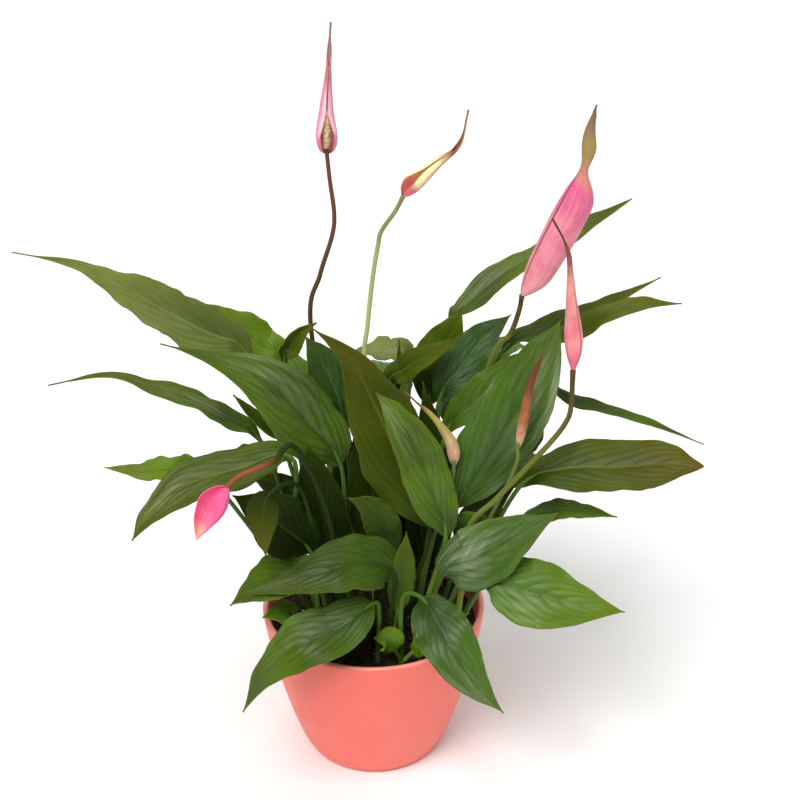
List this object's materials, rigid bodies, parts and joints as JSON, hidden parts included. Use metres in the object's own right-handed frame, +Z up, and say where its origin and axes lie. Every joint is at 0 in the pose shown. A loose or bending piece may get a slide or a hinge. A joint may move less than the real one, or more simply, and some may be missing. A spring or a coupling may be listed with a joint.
{
  "type": "potted peace lily",
  "caption": "Pink-flowering peace lily with glossy lance-shaped leaves and rolled pink spathes, growing in a coral plastic bowl pot.",
  "frame": {"origin": "middle of the pot's flat underside", "axes": "+Z up along the pot's axis, -Y the front that faces the viewer, +X to the viewer's right"},
  "size_m": [0.3683, 0.2529, 0.4211],
  "materials": {
    "coral_plastic": "satin",
    "dark_peat": "rough",
    "dark_leaf": "gloss",
    "mid_leaf": "gloss",
    "olive_leaf": "gloss",
    "grey_leaf": "satin",
    "bright_leaf": "gloss",
    "blue_leaf": "gloss",
    "silver_leaf": "gloss",
    "brown_stem": "satin",
    "pale_stem": "satin",
    "olive_stem": "satin",
    "pink_spathe": "satin",
    "rosy_spathe": "satin",
    "cream_spadix": "matte",
    "withered_flower": "matte"
  },
  "bodies": {
    "root": {"leaf_left_long": "grey_leaf", "leaf_left_bright": "bright_leaf", "leaf_left_broad": "mid_leaf", "leaf_left_slim": "mid_leaf", "leaf_left_small": "bright_leaf", "leaf_left_drooping": "olive_leaf", "leaf_back_left_blue": "blue_leaf", "leaf_middle_long": "olive_leaf", "leaf_middle_bright": "mid_leaf", "leaf_back_rolled": "olive_leaf", "leaf_back_grey": "grey_leaf", "leaf_back_twisted": "olive_leaf", "leaf_right_arching": "mid_leaf", "leaf_right_upright": "mid_leaf", "leaf_right_blue": "blue_leaf", "leaf_right_slim_high": "mid_leaf", "leaf_right_slim_low": "mid_leaf", "leaf_right_strap": "mid_leaf", "leaf_right_silver": "silver_leaf", "leaf_right_edge": "grey_leaf", "leaf_right_olive": "olive_leaf", "leaf_right_behind": "mid_leaf", "leaf_low_right_silver": "silver_leaf", "leaf_low_right_thin": "mid_leaf", "leaf_low_right_bright": "bright_leaf", "leaf_front_right_drooping": "silver_leaf", "leaf_front_left_drooping": "mid_leaf", "leaf_front_wide": "mid_leaf", "leaf_front_under": "mid_leaf", "leaf_rim_curly": "bright_leaf", "leaf_soil_pair": "bright_leaf", "leaf_inner_broad": "dark_leaf", "leaf_inner_front": "mid_leaf", "leaf_inner_dark_left": "dark_leaf", "leaf_inner_dark_middle": "dark_leaf", "leaf_inner_dark_right": "dark_leaf", "leaf_rear_middle": "mid_leaf", "leaf_rear_left": "mid_leaf", "leaf_rear_right": "mid_leaf", "leaf_rear_far_left": "olive_leaf", "leaf_rear_far_right": "olive_leaf", "leaf_rear_low_left": "bright_leaf", "leaf_rear_low_right": "bright_leaf", "bloom_tall_stem": "brown_stem", "bloom_tall_hood": "pink_spathe", "bloom_tall_spadix": "cream_spadix", "bloom_second_stem": "pale_stem", "bloom_second_hood": "pink_spathe", "bloom_large_stem": "olive_stem", "bloom_large_hood": "pink_spathe", "bloom_bud_stem": "olive_stem", "bloom_bud_hood": "rosy_spathe", "bloom_hanging_stem": "brown_stem", "bloom_hanging_hood": "rosy_spathe", "flower_tan": "withered_flower", "flower_brown": "withered_flower", "pot": "coral_plastic", "soil": "dark_peat"}
  },
  "joints": []
}
